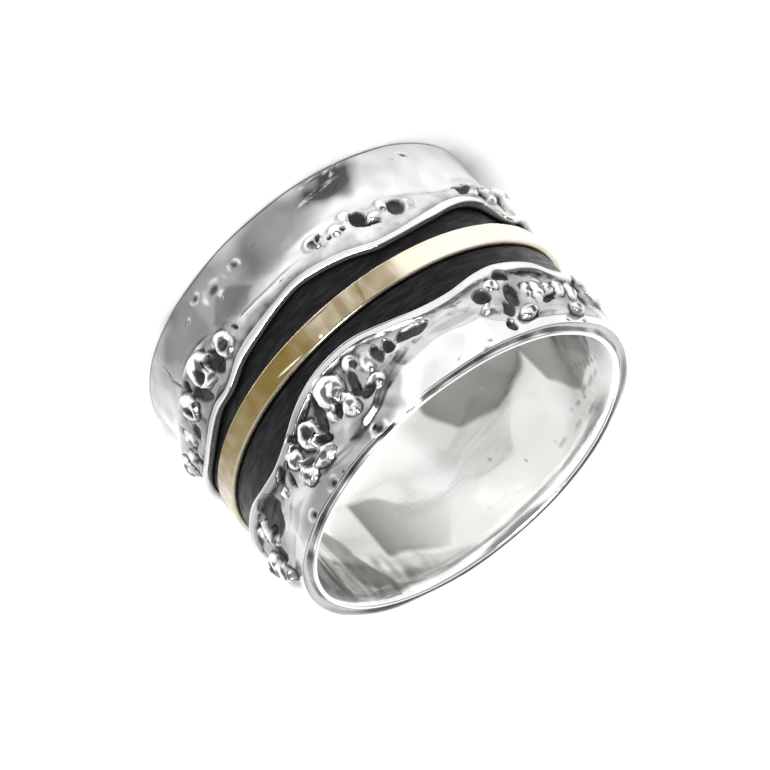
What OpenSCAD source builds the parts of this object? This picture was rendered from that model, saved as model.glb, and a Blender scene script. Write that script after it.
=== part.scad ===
// Wide spinner ring that lies on its side: the finger hole stands upright, the back rim is down.
// Angles run round the finger hole from -Y towards +X, and heights run up from the back rim.

/* [Finger hole] */
// Inner diameter of the finger hole
bore_d = 18.2; // [15:0.1:22]
// How far each mouth of the hole flares out, on the radius
mouth_flare = 0.2; // [0.05:0.05:0.25]
// Length of the flare at each mouth
mouth_l = 0.9; // [0.4:0.1:1.5]

/* [Inner sleeve] */
// Wall of the polished inner sleeve
sleeve_wall = 0.4; // [0.35:0.05:0.8]

/* [Widths along the finger, from the back rim to the front rim] */
// Back border, from its rim to the mean line of its wavy lip
back_border_w = 5.45; // [4.5:0.05:7]
// Visible dark strip between the back lip and the spinning band
back_strip = 1; // [0.9:0.05:2]
// Spinning band
band_w = 1.4; // [1:0.1:3]
// Visible dark strip between the spinning band and the front lip
front_strip = 1.7; // [1:0.05:2.5]
// Front border, from the mean line of its wavy lip to its rim
front_border_w = 3.95; // [3.4:0.05:6]

/* [Dark belt] */
// Wall of the blackened belt under the channel
belt_wall = 0.56; // [0.5:0.02:0.9]
// How far the belt runs on under a lip, past the lip's mean line
belt_lap = 1.15; // [1:0.05:1.4]
// Hairline seam between the pieces that are fixed together
seam = 0.04; // [0.02:0.01:0.06]

/* [Spinning band] */
// Thickness of the band
band_t = 0.5; // [0.4:0.02:0.56]
// How far the band stands above the belt
band_rise = 0.28; // [0.2:0.02:0.4]
// Rounding of the band's outer edges
band_edge_r = 0.17; // [0.1:0.01:0.22]
// Running clearance under the band, on the radius
band_run = 0.07; // [0.03:0.01:0.1]
// Clearance at each side of the band in its guide groove
band_side = 0.06; // [0.03:0.01:0.12]

/* [Borders] */
// How far a lip's crest stands above the belt
lip_h = 0.5; // [0.4:0.02:0.7]
// Radius of the rounded bead along a lip
lip_bead = 0.18; // [0.14:0.01:0.2]
// How far a lip line swings to each side of its mean line
wave_swing = 0.75; // [0.3:0.05:0.8]
// Least room between a lip and the spinning band
lip_room = 0.12; // [0.1:0.02:0.3]
// Metal left over the belt in the trough behind a lip
trough_t = 0.2; // [0.15:0.01:0.3]
// Width of the smooth zone along the back rim
back_smooth = 3.2; // [2.2:0.1:3.6]
// Width of the smooth zone along the front rim
front_smooth = 1.4; // [1:0.1:1.8]
// Wall of a border at its rim
rim_wall = 0.45; // [0.4:0.05:0.6]
// How much the smooth zone sinks below the rim
saddle = 0.16; // [0.05:0.01:0.2]
// How far a border's rim stays back from the end of the sleeve
rim_back = 0.1; // [0.08:0.01:0.2]
// Unevenness of a border's rim
rim_wobble = 0.05; // [0:0.01:0.06]

/* [Granules] */
// Height of a granule as a share of its smaller half width
granule_flat = 0.62; // [0.5:0.02:0.7]
// Size of all granules
granule_scale = 1; // [0.8:0.05:1.1]

/* [Hidden] */

// Radii, from the finger outwards
bore_r = bore_d / 2;
sleeve_r = bore_r + sleeve_wall;
belt_in = sleeve_r + seam;
belt_r = belt_in + belt_wall;
lip_under = belt_r + seam;
band_r = belt_r + band_rise;
band_in = band_r - band_t;
groove_r = band_in - band_run;
crest_r = belt_r + lip_h;
trough_r = lip_under + trough_t;
rim_r = belt_in + rim_wall;

// Heights, from the back rim up
back_lip_z = back_border_w;
band_low = back_lip_z + back_strip;
band_high = band_low + band_w;
front_lip_z = band_high + front_strip;
ring_w = front_lip_z + front_border_w;
belt_low = back_lip_z - belt_lap;
belt_high = front_lip_z + belt_lap;
lip_back_off = 0.05;
edge_soft = 0.05;
sleeve_edge = 0.03;
zone_rise = 0.14;

// How far hand work swings the lip's crest, the trough and the smooth zone, on the radius
crest_swell = 0.04;
trough_swell = 0.05;
smooth_swell = 0.03;

// Slices round the ring, and the finish of round shapes
SLICES = 108;
STEP = 360 / SLICES;
ROUND = 96;
MOUTH_STEPS = 5;
EDGE_STEPS = 4;
PEBBLE = 10;
DOME = [0.35, 0.7];
dome_step = 0.01;
lean_share = 0.12;

// How deep a granule is sunk into a border, over the belt and beyond the belt's end. There its
// root narrows so that it clears the belt, down to this share of its size.
sink_over_belt = trough_t - 0.08;
sink_deep = 0.45;
least_root = 0.2;

// Lip lines: angle, then the swing as a share of wave_swing, positive towards the front rim.
// The first 0 to 75 and the last 285 to 360 degrees follow the side that is seen.
front_wave = [
    [0, -0.9], [8, -1.05], [16, -0.88], [25, -0.3], [34, 0.5], [42, 0.82], [50, 0.6],
    [60, 0.08], [72, -0.05], [86, -0.35], [101, -0.7], [117, -0.25], [131, 0.5], [147, 0.75],
    [163, 0.1], [180, -0.65], [197, -0.9], [213, -0.2], [229, 0.6], [245, 0.5], [259, -0.1],
    [274, 0.15], [288, 0.85], [295, 0.9], [302, 0.15], [314, -0.3], [322, -0.1], [332, 0.38],
    [341, 0.3], [350, -0.2]
];
back_wave = [
    [2, -0.92], [10, -0.75], [18, -0.46], [27, -0.2], [36, 0.32], [44, 0.24], [54, 0.6],
    [64, 0.66], [78, 0.2], [92, -0.5], [108, -0.8], [122, -0.1], [138, 0.7], [152, 0.45],
    [168, -0.4], [184, -0.85], [200, -0.3], [216, 0.55], [232, 0.75], [248, 0.1], [262, -0.45],
    [276, 0.1], [288, 1.1], [292, 1], [295, 0.4], [298, -0.2], [303, -0.5], [310, -0.4],
    [320, 0.08], [337, 0.33], [347, -0.3], [355, -0.7]
];

// Granules: angle, distance from the lip's mean line towards the rim, half width round the ring,
// half height, lean in degrees. The lists hold the side that is seen.
front_granules = [
    [14.5, 0.5, 0.9, 0.85, 0], [12.2, 1.75, 0.45, 0.75, 0], [17.6, 1.45, 0.35, 0.65, 25],
    [26.6, 1.2, 0.75, 0.75, 0], [35.2, 1.3, 0.55, 0.5, 0], [34.5, 2.25, 0.75, 0.5, 15],
    [27, 2.4, 0.75, 0.5, -10], [45.6, 1.65, 0.3, 0.35, 0], [63.5, 1.6, 0.5, 0.8, 0],
    [69, 0.85, 0.45, 0.4, 0], [76, 2.3, 0.8, 0.95, 0], [5, 0.2, 0.45, 0.5, 0],
    [1.2, 0.75, 0.35, 0.6, -15], [2.5, 1.8, 0.5, 0.4, 0], [-35.5, 1.9, 0.4, 0.26, 20],
    [-40.5, 0.85, 0.42, 0.34, 0], [-46, 2.85, 0.6, 0.34, 10], [-49.8, 1.7, 0.3, 0.75, -35],
    [-53.6, 1.75, 0.42, 0.75, -35], [-58.5, 1.7, 0.35, 0.55, -35], [-63, 1.75, 0.35, 0.7, -35],
    [-65, 3.05, 0.5, 0.35, -20], [-68, 1.95, 0.4, 0.75, -35]
];
back_granules = [
    [28.6, 1.65, 0.62, 0.72, 0], [39.5, 1.85, 0.95, 0.95, 0], [53.5, 1.75, 0.75, 0.75, 0],
    [64.5, 1.35, 0.5, 0.55, 20], [73, 1.05, 0.45, 0.5, 0], [-9, 2.05, 0.5, 0.4, 0],
    [-16, 1.9, 0.4, 0.3, 0], [-20.5, 2.15, 0.35, 0.45, 30], [-27, 1.45, 0.4, 0.3, 0],
    [-31.5, 1.85, 0.35, 0.4, 20], [-38.2, 1.35, 0.32, 0.38, 0], [-64, 1.45, 0.5, 0.42, 0],
    [-71, 1.15, 0.5, 0.5, -20]
];

// Granules of the hidden half, spread from one angle to the other in turn
hidden_from = 83;
hidden_to = 277;
function hidden_granules(count, nearest, farthest, shift) = [
    for (i = [0:count - 1])
        let (size = 0.55 + 0.2 * sin(212 * i + shift))
        [hidden_from + i * (hidden_to - hidden_from) / (count - 1),
         (nearest + farthest) / 2 + (farthest - nearest) / 2 * sin(137.5 * i + shift),
         size, size * (1 + 0.25 * sin(292 * i)), 30 * sin(246 * i)]
];
front_hidden = hidden_granules(17, 1.05, 1.95, 23);
back_hidden = hidden_granules(16, 1.15, 1.75, 109);

// Dents of the smooth zones: angle, place from the rim (0) to the granules (1), depth, half width.
front_dents = [[11, 0.1, 0.05, 0.5], [31, 0.2, 0.08, 0.5], [43, 0.15, 0.08, 0.5], [321, 0.45, 0.08, 0.6],
    [100, 0.4, 0.08, 0.7], [170, 0.3, 0.07, 0.6], [240, 0.4, 0.08, 0.7], [334, 0.15, 0.06, 0.5]];
back_dents = [[11, 0.42, 0.06, 0.5], [21, 0.42, 0.11, 0.7], [34, 0.37, 0.05, 0.4], [308, 0.25, 0.1, 0.5],
    [330, 0.1, 0.06, 0.5], [56, 0.5, 0.08, 0.7], [340, 0.34, 0.06, 0.6], [105, 0.4, 0.09, 0.8],
    [160, 0.55, 0.08, 0.7], [215, 0.35, 0.09, 0.8], [270, 0.5, 0.08, 0.7]];

// Value of a closed curve through the knots [angle, value], with smooth slopes
function knot(t, i) =
    let (n = len(t), turn = floor(i / n)) [t[i - turn * n][0] + 360 * turn, t[i - turn * n][1]];
function slope(t, i) = let (a = knot(t, i - 1), b = knot(t, i + 1)) (b[1] - a[1]) / (b[0] - a[0]);
function knot_before(t, a) = len([for (k = t) if (k[0] <= a) 1]) - 1;
function wave(t, a) =
    let (i = knot_before(t, a), p = knot(t, i), q = knot(t, i + 1), w = q[0] - p[0], s = (a - p[0]) / w)
    p[1] * (1 + 2 * s) * pow(1 - s, 2) + q[1] * s * s * (3 - 2 * s)
    + w * (slope(t, i) * s * pow(1 - s, 2) - slope(t, i + 1) * s * s * (1 - s));

// Height of each lip's channel edge at an angle; the lips never reach the spinning band
function front_lip(a) = max(front_lip_z + wave_swing * wave(front_wave, a), band_high + lip_room);
function back_lip(a) = min(back_lip_z + wave_swing * wave(back_wave, a), band_low - lip_room);

// Slow swells that a hand hammer leaves round the ring
function swell(a, k) = (sin(3 * a + 40 * k) + sin(7 * a + 75 * k) + sin(13 * a - 60 * k)) / 3;

function turned(a, b) = abs((a - b + 540) % 360 - 180);
function dent_sink(dents, a, place, zone_w) =
    len(dents) == 0 ? 0
    : max([for (d = dents)
        let (round_d = turned(a, d[0]) * PI / 180 * rim_r, along_d = (place - d[1]) * zone_w)
        d[2] * exp(-(round_d * round_d + along_d * along_d) / (2 * d[3] * d[3]))]);

// Radii over the smooth zone, from its inner end (place 1) to the rim (place 0)
function smooth_r(dents, a, place, zone_w) =
    let (dip = saddle * pow(sin(180 * min(1, place + 0.08)), 2), rise = zone_rise * pow(place, 6))
    rim_r - dip + rise + smooth_swell * swell(a, place * 2) - dent_sink(dents, a, place, zone_w);

// One section of a border as [distance from the lip towards the rim, radius], round its whole outline
function border_section(a, lip_to_rim, lip_to_step, smooth_w, dents) = concat(
    [[lip_back_off, lip_under], [0, lip_under + edge_soft]],
    [for (t = [180, 135, 90, 45])
        [lip_bead * (1 + cos(t)), crest_r + crest_swell * swell(a, 1) - lip_bead * (1 - sin(t))]],
    [[2 * lip_bead + edge_soft, trough_r + smooth_swell * swell(a, 5)]],
    [for (t = [0.4, 0.75])
        let (trough_w = lip_to_rim - smooth_w - 2 * lip_bead)
        [2 * lip_bead + t * trough_w, trough_r + trough_swell * swell(a, 4 * t)]],
    [for (t = [1, 0.75, 0.5, 0.25]) [lip_to_rim - smooth_w * t, smooth_r(dents, a, t, smooth_w)]],
    [[lip_to_rim - edge_soft, rim_r], [lip_to_rim, rim_r - edge_soft], [lip_to_rim, belt_in]],
    [[lip_to_step, belt_in], [lip_to_step, lip_under]]
);

// Closed skin through the sections of all slices
module loft(sections) {
    n = len(sections);
    m = len(sections[0]);
    points = [for (s = sections) each s];
    faces = [for (i = [0:n - 1], j = [0:m - 1])
        let (i2 = (i + 1) % n, j2 = (j + 1) % m)
        each [[i * m + j, i * m + j2, i2 * m + j2], [i * m + j, i2 * m + j2, i2 * m + j]]];
    polyhedron(points, faces);
}

function place_at(a, r, z) = [r * sin(a), -r * cos(a), z];

// A melted silver grain: a domed oval pebble that leans a little, sunk into the border that carries it
module granule(g, z, sink, root) {
    rotate([0, 0, g[0] - 90]) translate([trough_r, 0, z]) rotate([0, 90, 0]) rotate([0, 0, g[4]])
        scale([g[3] * granule_scale, g[2] * granule_scale, granule_flat * min(g[2], g[3]) * granule_scale])
            hull() {
                translate([0, 0, -sink / (granule_flat * min(g[2], g[3]) * granule_scale)])
                    cylinder(h = dome_step, r = root, $fn = PEBBLE);
                cylinder(h = dome_step, r = 1, $fn = PEBBLE);
                for (t = DOME)
                    translate([lean_share * sin(7 * g[0]) * t, lean_share * cos(5 * g[0]) * t, sin(t * 90)])
                        cylinder(h = dome_step, r = cos(t * 90), $fn = PEBBLE);
            }
}

// Silver border between a wavy lip and a rim: one skin with its granules melted on.
// towards is 1 when the rim lies above the lip and -1 when it lies below.
module border(towards, rim_z, step_z, smooth_w, dents, granules) {
    union() {
        loft([for (i = [0:SLICES - 1])
            let (
                a = towards > 0 ? i * STEP : 360 - (i + 1) * STEP,
                lip = towards > 0 ? front_lip(a) : back_lip(a),
                rim = rim_z + rim_wobble * swell(a, 2),
                lip_to_rim = towards * (rim - lip),
                section = border_section(a, lip_to_rim, towards * (step_z - lip), smooth_w, dents)
            )
            [for (p = section) place_at(a, p[1], lip + towards * p[0])]]);
        for (g = granules) {
            z = (towards > 0 ? front_lip_z : back_lip_z) + towards * g[1];
            beyond_belt = towards * (z - step_z) / (max(g[2], g[3]) * granule_scale);
            root = min(1, 1 + (beyond_belt - 1) * sink_deep / trough_t);
            if (root > least_root) granule(g, z, sink_deep, root);
            else granule(g, z, sink_over_belt, 1);
        }
    }
}

module front_border() {
    color("silver")
        border(1, ring_w - rim_back, belt_high + seam, front_smooth, front_dents,
            concat(front_granules, front_hidden));
}

module back_border() {
    color("silver")
        border(-1, rim_back, belt_low - seam, back_smooth, back_dents, concat(back_granules, back_hidden));
}

// Inner sleeve: a straight bore that flares at both mouths
module sleeve() {
    flare = [for (i = [0:MOUTH_STEPS])
        let (t = i / MOUTH_STEPS) [bore_r + mouth_flare * pow(1 - t, 2), mouth_l * t]];
    color("gainsboro") rotate_extrude($fn = ROUND) polygon(concat(
        flare,
        [for (i = [MOUTH_STEPS:-1:0]) [flare[i][0], ring_w - flare[i][1]]],
        [[sleeve_r - sleeve_edge, ring_w], [sleeve_r, ring_w - sleeve_edge]],
        [[sleeve_r, sleeve_edge], [sleeve_r - sleeve_edge, 0]]
    ));
}

// Blackened belt under the channel, with a shallow guide groove for the band
module dark_belt() {
    color("#2b2a2d") rotate_extrude($fn = ROUND) polygon([
        [belt_in, belt_low], [belt_r, belt_low],
        [belt_r, band_low - band_side], [groove_r, band_low - band_side],
        [groove_r, band_high + band_side], [belt_r, band_high + band_side],
        [belt_r, belt_high], [belt_in, belt_high]
    ]);
}

// Gold band with rounded outer edges, free to turn in the groove
module spinner_band() {
    core_r = band_r - band_edge_r;
    turns = [for (i = [0:EDGE_STEPS]) 90 * i / EDGE_STEPS];
    color("#d9bd78") rotate_extrude($fn = ROUND) polygon(concat(
        [[band_in, band_high], [band_in, band_low]],
        [for (t = turns) [core_r + band_edge_r * sin(t), band_low + band_edge_r * (1 - cos(t))]],
        [for (t = turns) [core_r + band_edge_r * cos(t), band_high - band_edge_r * (1 - sin(t))]]
    ));
}

sleeve();
dark_belt();
back_border();
front_border();
spinner_band();
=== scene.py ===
# %% [markdown]
# A handmade silver spinner ring stands on its back rim. Melted silver granules sit in dark crevices
# behind its wavy lips, and a narrow gold band turns in a blackened channel. The CAD model gives
# every size, and this script the skin: hammer marks, granules, scratches and the metals.

# %% Load the frame
from math import copysign, cos, degrees, hypot, pi, radians, sin, sqrt

import bpy
import numpy as np
from mathutils import Matrix, Vector


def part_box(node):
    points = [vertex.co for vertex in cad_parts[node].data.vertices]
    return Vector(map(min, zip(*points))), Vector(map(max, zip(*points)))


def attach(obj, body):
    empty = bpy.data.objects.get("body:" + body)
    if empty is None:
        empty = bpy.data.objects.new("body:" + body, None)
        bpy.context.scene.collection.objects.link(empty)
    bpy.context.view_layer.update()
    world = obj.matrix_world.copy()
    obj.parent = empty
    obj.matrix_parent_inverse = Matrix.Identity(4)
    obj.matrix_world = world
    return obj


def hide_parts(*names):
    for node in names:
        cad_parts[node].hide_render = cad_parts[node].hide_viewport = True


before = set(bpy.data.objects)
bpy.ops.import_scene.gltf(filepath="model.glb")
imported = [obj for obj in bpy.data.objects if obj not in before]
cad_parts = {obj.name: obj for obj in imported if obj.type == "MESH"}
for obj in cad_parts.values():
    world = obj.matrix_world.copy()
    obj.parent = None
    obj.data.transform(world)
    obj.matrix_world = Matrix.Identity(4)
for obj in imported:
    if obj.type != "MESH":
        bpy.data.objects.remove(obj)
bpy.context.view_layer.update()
MM = 0.001

# %% [markdown]
# The sizes come from the CAD nodes' boxes, so the skins sit where the solids are. Only the wall
# sizes that a box can't tell, such as the belt's lap under a lip, are named here again.

# %% Sizes read off the frame
def tall(node):
    """Lowest and highest point of a CAD node."""
    low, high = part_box(node)
    return low[2], high[2]


def reach(node):
    """Outer radius of a round CAD node."""
    low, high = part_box(node)
    return (high[0] - low[0]) / 2


ring_low, ring_high = tall("sleeve")
belt_low, belt_high = tall("dark_belt")
band_low, band_high = tall("spinner_band")
sleeve_r = reach("sleeve")
belt_r = reach("dark_belt")
band_r = reach("spinner_band")

SEAM = 0.04 * MM
BELT_WALL = 0.56 * MM
BELT_LAP = 1.15 * MM
SLEEVE_WALL = 0.4 * MM
MOUTH_FLARE = 0.2 * MM
MOUTH_L = 0.9 * MM
BAND_T = 0.5 * MM
BAND_EDGE = 0.17 * MM
LIP_H = 0.5 * MM
LIP_ROOM = 0.12 * MM
WAVE_SWING = 0.75 * MM
TROUGH_T = 0.2 * MM
FIELD_T = 0.05 * MM
RIM_WALL = 0.45 * MM
SADDLE = 0.16 * MM
RIM_BACK = 0.1 * MM
RIM_WOBBLE = 0.05 * MM
EDGE_SOFT = 0.05 * MM

bore_r = sleeve_r - SLEEVE_WALL
belt_in = belt_r - BELT_WALL
lip_under = belt_r + SEAM
crest_r = belt_r + LIP_H
trough_r = lip_under + TROUGH_T
field_r = trough_r + FIELD_T
rim_r = belt_in + RIM_WALL
front_lip_z = belt_high - BELT_LAP
back_lip_z = belt_low + BELT_LAP
print("bore, belt, band, crest in mm:", [round(r / MM, 2) for r in (bore_r, belt_r, band_r, crest_r)])

# %% [markdown]
# Small helpers do all the shaping, on whole grids at once. They measure along the ring, tell which
# points lie in a round spot or in a flat face, and draw a freehand line through a few knots.

# %% Helpers for places and lines
NEAR_SIDE = 83


def unit(values):
    """Values cut to the range from 0 to 1."""
    return np.clip(values, 0, 1)


def arc(angles, angle, radius):
    """How far each angle lies from one angle, along the ring and the short way round."""
    return np.radians((angles - angle + 180) % 360 - 180) * radius


def oval(angles, heights, spot):
    """How far out each point lies from a spot, squared: 1 is its oval outline."""
    angle, height, wide, high, lean = spot[:5]
    around = arc(angles, angle, trough_r)
    along = heights - height * MM
    c, s = cos(radians(lean)), sin(radians(lean))
    return ((around * c + along * s) / (wide * MM)) ** 2 + ((along * c - around * s) / (high * MM)) ** 2


def flat_patch(angles, heights, corners, soft, radius):
    """1 inside a convex patch with (angle, height) corners in turn, 0 outside, with soft edges."""
    inside = np.ones(np.broadcast(angles, heights).shape)
    spots = [(radians(angle) * radius, height * MM) for angle, height in corners]
    middle = np.mean(spots, axis=0)
    if corners[0][0] < NEAR_SIDE:
        angles = (angles + 180) % 360 - 180
    around = np.radians(angles) * radius
    for start, end in zip(spots, spots[1:] + spots[:1]):
        run, rise = end[0] - start[0], end[1] - start[1]
        length = hypot(run, rise)
        side = copysign(1, run * (middle[1] - start[1]) - rise * (middle[0] - start[0]))
        off = side * (run * (heights - start[1]) - rise * (around - start[0])) / length
        inside = inside * unit(off / soft + 0.5)
    return inside


def curve_through(knots, angles):
    """Smooth closed curve through (degrees, value) knots, at each angle in degrees."""
    at, value = np.array(knots, float).T
    at = np.hstack([at[-2:] - 360, at, at[:3] + 360])
    value = np.hstack([value[-2:], value, value[:3]])
    slope = np.zeros_like(value)
    slope[1:-1] = (value[2:] - value[:-2]) / (at[2:] - at[:-2])
    i = np.clip(np.searchsorted(at, angles, side="right") - 1, 1, len(at) - 3)
    w = at[i + 1] - at[i]
    s = (angles - at[i]) / w
    return (value[i] * (1 + 2 * s) * (1 - s) ** 2 + value[i + 1] * s * s * (3 - 2 * s)
            + w * (slope[i] * s * (1 - s) ** 2 - slope[i + 1] * s * s * (1 - s)))


# %% [markdown]
# `hand_ripple` is the slow unevenness of hand work, waves that close round the ring. `planishing` is
# the pattern of hammer blows: of all the shallow bowls the deepest counts, which leaves soft ridges.
# `facet_tone` gives each blow its own brightness, as each face mirrors its own bit of the room.

# %% Helpers for surfaces
def hand_ripple(angles, heights, seed, wave, count=14):
    """Uneven waves of about one wavelength over the grid, between -1 and 1."""
    dice = np.random.default_rng(seed)
    total = np.zeros(np.broadcast(angles, heights).shape)
    around = np.radians(angles)
    for _ in range(count):
        turn = dice.uniform(0, 2 * pi)
        length = wave * dice.uniform(0.7, 1.6)
        rounds = round(cos(turn) * 2 * pi * rim_r / length)
        rise = sin(turn) * 2 * pi / length
        total += np.sin(rounds * around + rise * heights + dice.uniform(0, 2 * pi))
    return total / sqrt(count * 2)


def planishing(angles, heights, blows, radius, blow_r):
    """Depth of the deepest hammer bowl at each point; blows are (degrees, height) pairs."""
    deepest = np.full(np.broadcast(angles, heights).shape, 1e9)
    for angle, height in blows:
        around = arc(angles, angle, radius)
        deepest = np.minimum(deepest, (around ** 2 + (heights - height) ** 2) / (2 * blow_r))
    return deepest


def scatter(seed, count, low, high):
    """Places round the ring that don't line up: golden-angle steps with a little chance."""
    dice = np.random.default_rng(seed)
    return [((137.5 * i + dice.uniform(-8, 8)) % 360, dice.uniform(low, high)) for i in range(count)]


def facet_tone(angles, heights, blows, radius, seed):
    """A value between 0 and 1 for each facet, that of the nearest blow."""
    dice = np.random.default_rng(seed)
    shape = np.broadcast(angles, heights).shape
    nearest, tone = np.full(shape, 1e9), np.zeros(shape)
    for angle, height in blows:
        apart = arc(angles, angle, radius) ** 2 + (heights - height) ** 2
        own = dice.uniform(0, 1)
        tone = np.where(apart < nearest, own, tone)
        nearest = np.minimum(nearest, apart)
    return tone


def shade_faces(tone, angles, heights, faces, radius):
    """Darkens flat faces, each given by its corners, brightness and softness."""
    for corners, brightness, soft in faces:
        patch = flat_patch(angles, heights, corners, soft * MM, radius)
        tone = tone * (1 - (1 - brightness) * patch)
    return tone


def eased(share):
    """A share from 0 to 1 with a soft start and a soft end."""
    share = unit(share)
    return share * share * (3 - 2 * share)


def smooth_max(a, b, blend):
    """The higher of two surfaces, melted together where they cross."""
    mix = unit(0.5 + 0.5 * (a - b) / blend)
    return b * (1 - mix) + a * mix + blend * mix * (1 - mix)


def soften(grid, passes):
    """Blurs a grid that closes round the ring, a few points wide."""
    for _ in range(passes):
        grid = (np.roll(grid, 1, 0) + 2 * grid + np.roll(grid, -1, 0)) / 4
        padded = np.pad(grid, ((0, 0), (1, 1)), mode="edge")
        grid = (padded[:, :-2] + 2 * grid + padded[:, 2:]) / 4
    return grid


# %% [markdown]
# Every skin is a grid bent round the finger hole and closed both ways. Its masks are values at each
# point that the finishes read: how sooty, how bright or how satin a place is.

# %% From a grid to a mesh
def ring_skin(name, angles, radii, heights, masks):
    """A closed mesh through radii and heights, both (angles, rows) grids."""
    around = np.radians(angles)[:, None]
    points = np.stack([radii * np.sin(around), -radii * np.cos(around), heights + 0 * around], -1)
    index = np.arange(radii.size).reshape(radii.shape)
    beside = np.roll(index, -1, 0)
    quads = np.stack([index, beside, np.roll(beside, -1, 1), np.roll(index, -1, 1)], -1)
    mesh = bpy.data.meshes.new(name)
    mesh.from_pydata(points.reshape(-1, 3).tolist(), [], quads.reshape(-1, 4).tolist())
    for mask_name, values in masks.items():
        layer = mesh.attributes.new(mask_name, "FLOAT", "POINT")
        layer.data.foreach_set("value", values.astype(np.float32).ravel())
    mesh.shade_smooth()
    skin = bpy.data.objects.new(name, mesh)
    bpy.context.collection.objects.link(skin)
    bpy.context.view_layer.update()
    print(name, len(mesh.polygons) * 2, "triangles")
    return skin


# %% [markdown]
# The lip lines and the granules repeat the CAD file's lists, because this script can't read that
# file. Angles are degrees from the side that faces the camera, positive towards +X, and lengths are
# millimetres. What the photo shows was measured; the hidden half goes on by rule.

# %% Lip lines, and where the smooth zones begin
FRONT_WAVE = [
    (0, -0.9), (8, -1.05), (16, -0.88), (25, -0.3), (34, 0.5), (42, 0.82), (50, 0.6),
    (60, 0.08), (72, -0.05), (86, -0.35), (101, -0.7), (117, -0.25), (131, 0.5), (147, 0.75),
    (163, 0.1), (180, -0.65), (197, -0.9), (213, -0.2), (229, 0.6), (245, 0.5), (259, -0.1),
    (274, 0.15), (288, 0.85), (295, 0.9), (302, 0.15), (314, -0.3), (322, -0.1), (332, 0.38),
    (341, 0.3), (350, -0.2),
]
BACK_WAVE = [
    (2, -0.92), (10, -0.75), (18, -0.46), (27, -0.2), (36, 0.32), (44, 0.24), (54, 0.6),
    (64, 0.66), (78, 0.2), (92, -0.5), (108, -0.8), (122, -0.1), (138, 0.7), (152, 0.45),
    (168, -0.4), (184, -0.85), (200, -0.3), (216, 0.55), (232, 0.75), (248, 0.1), (262, -0.45),
    (276, 0.1), (288, 1.1), (292, 1), (295, 0.4), (298, -0.2), (303, -0.5), (310, -0.4),
    (320, 0.08), (337, 0.33), (347, -0.3), (355, -0.7),
]
FRONT_FIELD_END = [
    (2, 11.7), (8, 12.3), (16, 12.5), (24, 12.45), (32, 12.1), (40, 11.7), (47, 11.7), (53, 12.05),
    (59, 12.2), (67, 12.5), (80, 12.6), (100, 11.9), (120, 12.4), (140, 12.7), (165, 12.1),
    (190, 11.6), (215, 12.5), (240, 12.6), (265, 12.2), (290, 12.7), (305, 12.6), (316, 12.5),
    (322, 12), (328, 11.4), (337, 11.05), (347, 11), (355, 11.2),
]
BACK_FIELD_END = [
    (0, 3.65), (10, 3.7), (18, 3.6), (24, 3.2), (30, 2.85), (37, 2.45), (46, 2.4), (54, 2.6),
    (64, 3), (80, 2.9), (100, 3.5), (120, 2.8), (145, 2.6), (170, 3.3), (200, 3.5), (225, 2.7),
    (250, 2.9), (275, 3.4), (292, 3.4), (305, 3.8), (318, 3.5), (326, 3.2), (332, 3.3),
    (338, 3), (346, 3.3), (353, 3.6),
]


def front_lip(angles):
    """Height of the front lip's edge, clear of the gold."""
    return np.maximum(front_lip_z + WAVE_SWING * curve_through(FRONT_WAVE, angles), band_high + LIP_ROOM)


def back_lip(angles):
    """Height of the back lip's edge, clear of the gold."""
    return np.minimum(back_lip_z + WAVE_SWING * curve_through(BACK_WAVE, angles), band_low - LIP_ROOM)


narrowest = np.min(front_lip(np.arange(360)) - back_lip(np.arange(360)))
print("narrowest place of the channel: %.2f mm" % (narrowest / MM))


# %% Granules: angle, distance from the lip's mean line, half width, half height, lean
FRONT_GRANULES = [
    (14.5, 0.5, 0.9, 0.85, 0), (12.2, 1.75, 0.45, 0.75, 0), (17.6, 1.45, 0.35, 0.65, 25),
    (26.6, 1.2, 0.75, 0.75, 0), (35.2, 1.3, 0.55, 0.5, 0), (34.5, 2.25, 0.75, 0.5, 15),
    (27, 2.4, 0.75, 0.5, -10), (45.6, 1.65, 0.3, 0.35, 0), (63.5, 1.6, 0.5, 0.8, 0),
    (69, 0.85, 0.45, 0.4, 0), (76, 2.3, 0.8, 0.95, 0), (5, 0.2, 0.45, 0.5, 0),
    (1.2, 0.75, 0.35, 0.6, -15), (2.5, 1.8, 0.5, 0.4, 0), (-35.5, 1.9, 0.4, 0.26, 20),
    (-40.5, 0.85, 0.42, 0.34, 0), (-46, 2.85, 0.6, 0.34, 10), (-49.8, 1.7, 0.3, 0.75, -35),
    (-53.6, 1.75, 0.42, 0.75, -35), (-58.5, 1.7, 0.35, 0.55, -35), (-63, 1.75, 0.35, 0.7, -35),
    (-65, 3.05, 0.5, 0.35, -20), (-68, 1.95, 0.4, 0.75, -35),
]
BACK_GRANULES = [
    (28.6, 1.65, 0.62, 0.72, 0), (39.5, 1.85, 0.95, 0.95, 0), (53.5, 1.75, 0.75, 0.75, 0),
    (64.5, 1.35, 0.5, 0.55, 20), (73, 1.05, 0.45, 0.5, 0), (-9, 2.05, 0.5, 0.4, 0),
    (-16, 1.9, 0.4, 0.3, 0), (-20.5, 2.15, 0.35, 0.45, 30), (-27, 1.45, 0.4, 0.3, 0),
    (-31.5, 1.85, 0.35, 0.4, 20), (-38.2, 1.35, 0.32, 0.38, 0), (-64, 1.45, 0.5, 0.42, 0),
    (-71, 1.15, 0.5, 0.5, -20),
]
HIDDEN_FROM, HIDDEN_TO = 83, 277


def wave_of(angle):
    """Sine of an angle in degrees."""
    return sin(radians(angle))


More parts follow.
